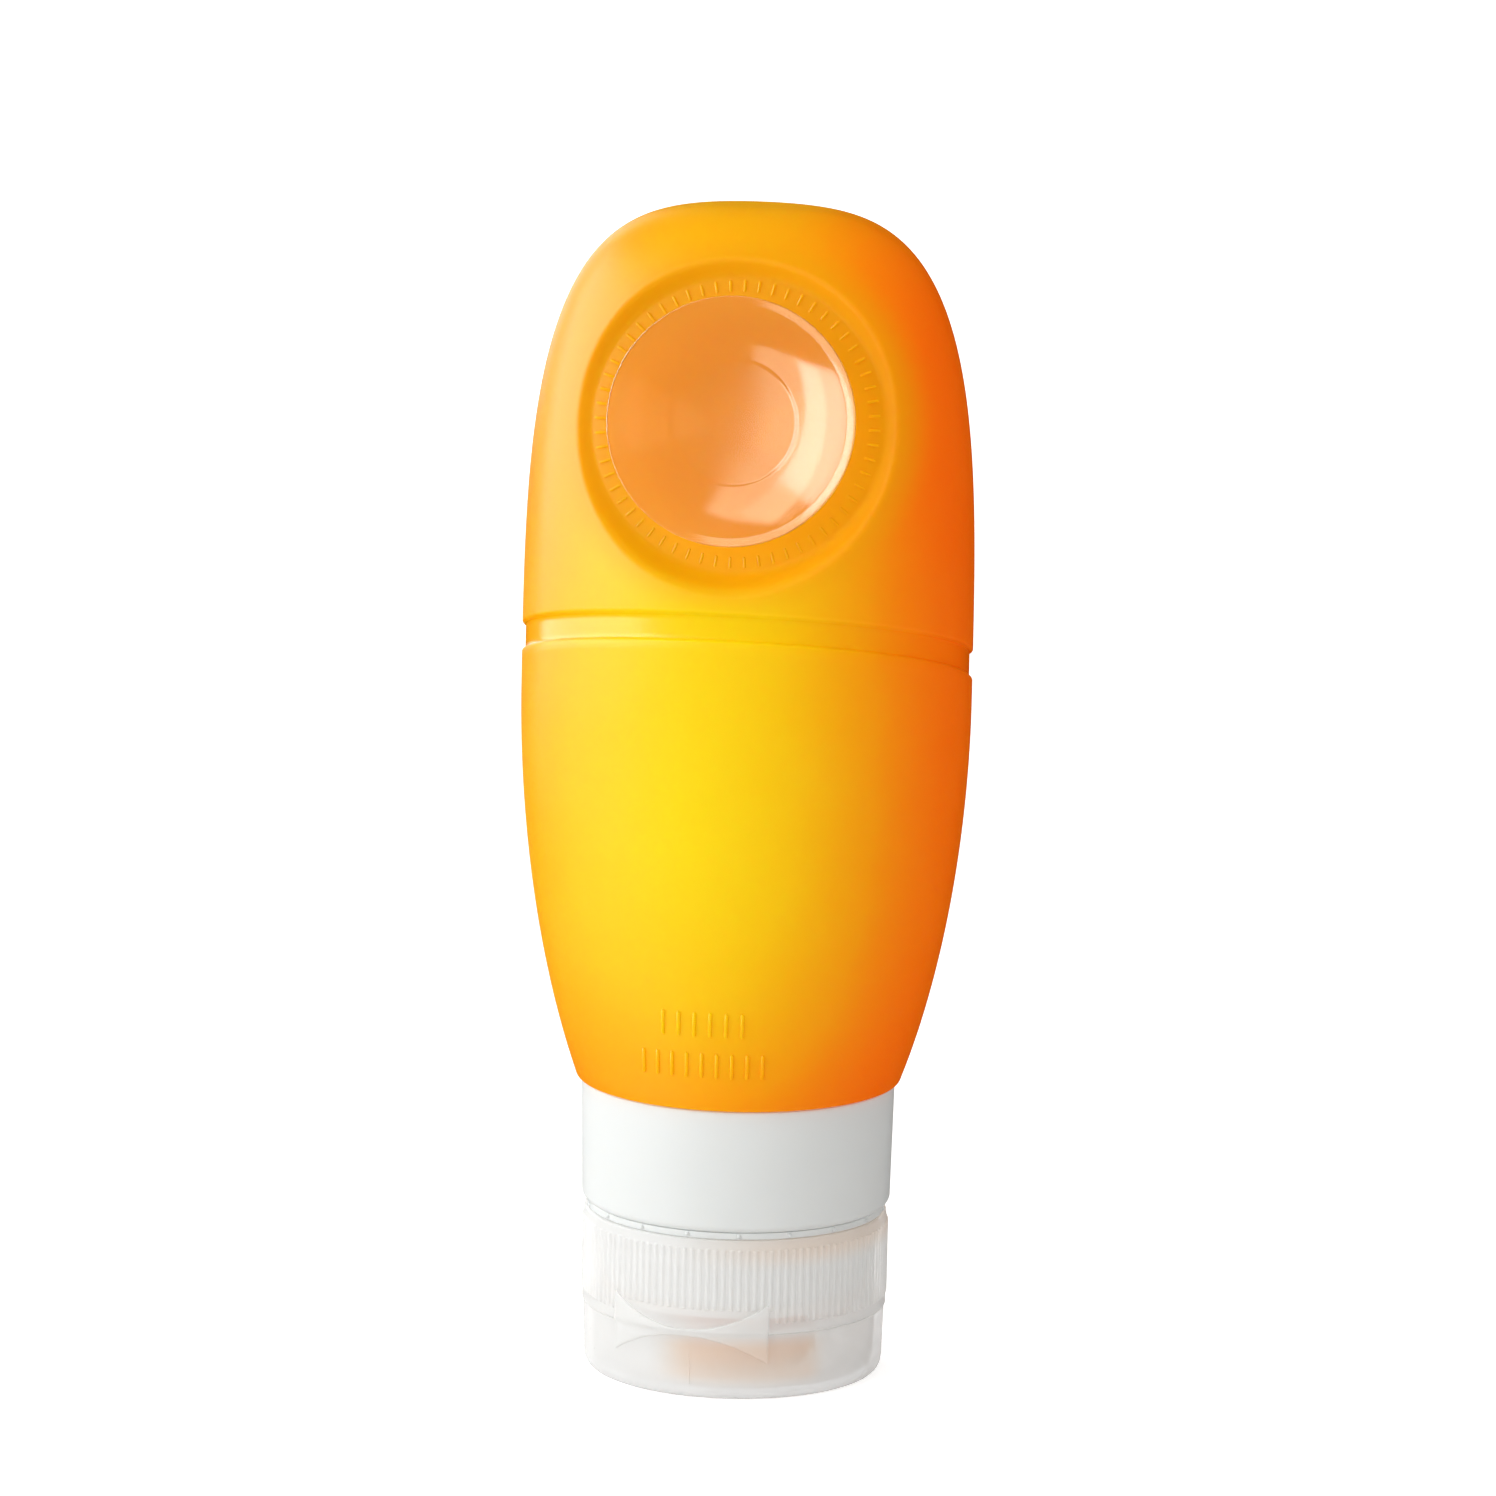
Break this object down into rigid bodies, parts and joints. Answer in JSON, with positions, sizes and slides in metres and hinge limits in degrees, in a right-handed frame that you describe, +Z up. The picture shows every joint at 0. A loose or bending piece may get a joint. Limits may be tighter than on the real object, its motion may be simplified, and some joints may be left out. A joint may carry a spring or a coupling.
{
  "type": "travel squeeze bottle",
  "caption": "Soft oval squeeze bottle with a suction cup in its front, a turning collar and a ribbed screw cap with a butterfly-hinged flip lid that it stands on.",
  "frame": {"origin": "centre of the flip lid's flat foot, on which the bottle stands", "axes": "+Z up the bottle's axis, -Y out of the side that carries the suction cup, +X to the right of that side in the picture"},
  "size_m": [0.0551, 0.0415, 0.1444],
  "materials": {
    "orange_silicone": "satin translucent silicone",
    "clear_silicone": "glossy clear silicone",
    "white_plastic": "smooth white polypropylene",
    "frosted_plastic": "frosted natural polypropylene",
    "gasket_foam": "matte white foam"
  },
  "bodies": {
    "bottle": {"bottle_shell": "orange_silicone", "suction_cup": "clear_silicone", "neck_insert": "white_plastic", "clamp_ring": "white_plastic"},
    "collar": {"collar": "white_plastic"},
    "seal": {"cap_gasket": "gasket_foam"},
    "cap": {"cap_body": "frosted_plastic", "valve": "clear_silicone", "valve_retainer": "white_plastic", "hinge_web": "frosted_plastic"},
    "lid": {"lid": "frosted_plastic"}
  },
  "joints": [
    {"name": "collar_turn", "type": "hinge", "parent": "bottle", "child": "collar", "pos_m": [0, 0, 0.0288], "axis": [0, 0, 1], "continuous": true},
    {"name": "cap_lift", "type": "slide", "parent": "bottle", "child": "seal", "axis": [0, 0, -1], "range_m": [0, 0.0044]},
    {"name": "cap_turn", "type": "hinge", "parent": "seal", "child": "cap", "pos_m": [0, 0, 0.0144], "axis": [0, 0, -1], "range_deg": [0, 450]},
    {"name": "lid_hinge", "type": "hinge", "parent": "cap", "child": "lid", "pos_m": [-0.00328, -0.01862, 0.00849], "axis": [-0.9848, 0.1736, 0], "range_deg": [0, 150], "deforming": ["hinge_web"]}
  ],
  "couplings": [
    {"joint": "cap_lift", "follows": "cap_turn", "m_per_rad": 0.00055704}
  ]
}
